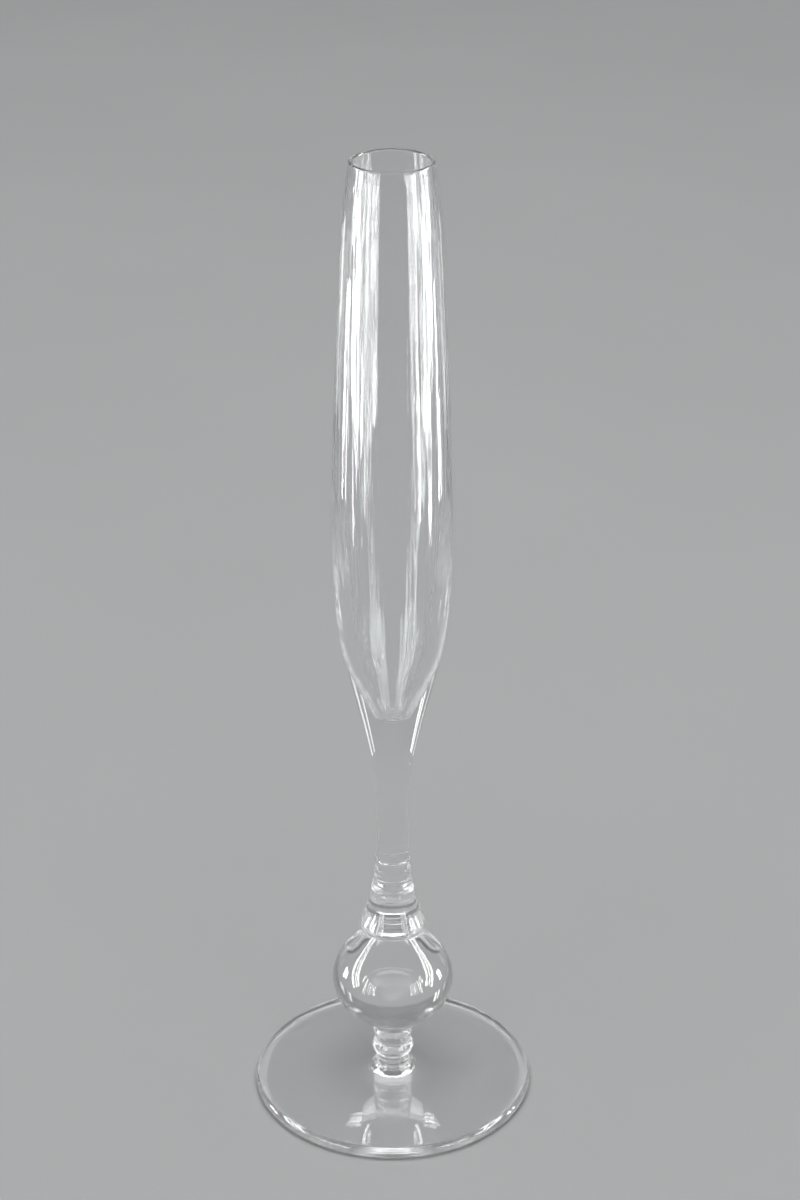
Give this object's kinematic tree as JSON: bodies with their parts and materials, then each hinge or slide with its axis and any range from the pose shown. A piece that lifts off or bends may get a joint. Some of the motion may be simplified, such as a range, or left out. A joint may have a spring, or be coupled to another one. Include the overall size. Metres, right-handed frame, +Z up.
{
  "type": "champagne flute",
  "caption": "Tall slender clear-glass flute with a narrow mouth, thick-based bowl, short drawn stem, bell collar, solid ball knop, beaded neck and flat round foot.",
  "frame": {"origin": "centre of the circle that the foot stands on, at the level of the table", "axes": "+Z up along the axis of revolution, from the foot to the rim; X and Y lie in the table and have no preferred direction"},
  "size_m": [0.0866, 0.0866, 0.3],
  "materials": {
    "clear_glass": "fire-polished, clear and colourless"
  },
  "bodies": {
    "root": {"bowl": "clear_glass", "stem": "clear_glass", "stem_collar": "clear_glass", "ball_knop": "clear_glass", "merese": "clear_glass", "foot": "clear_glass"}
  },
  "joints": []
}
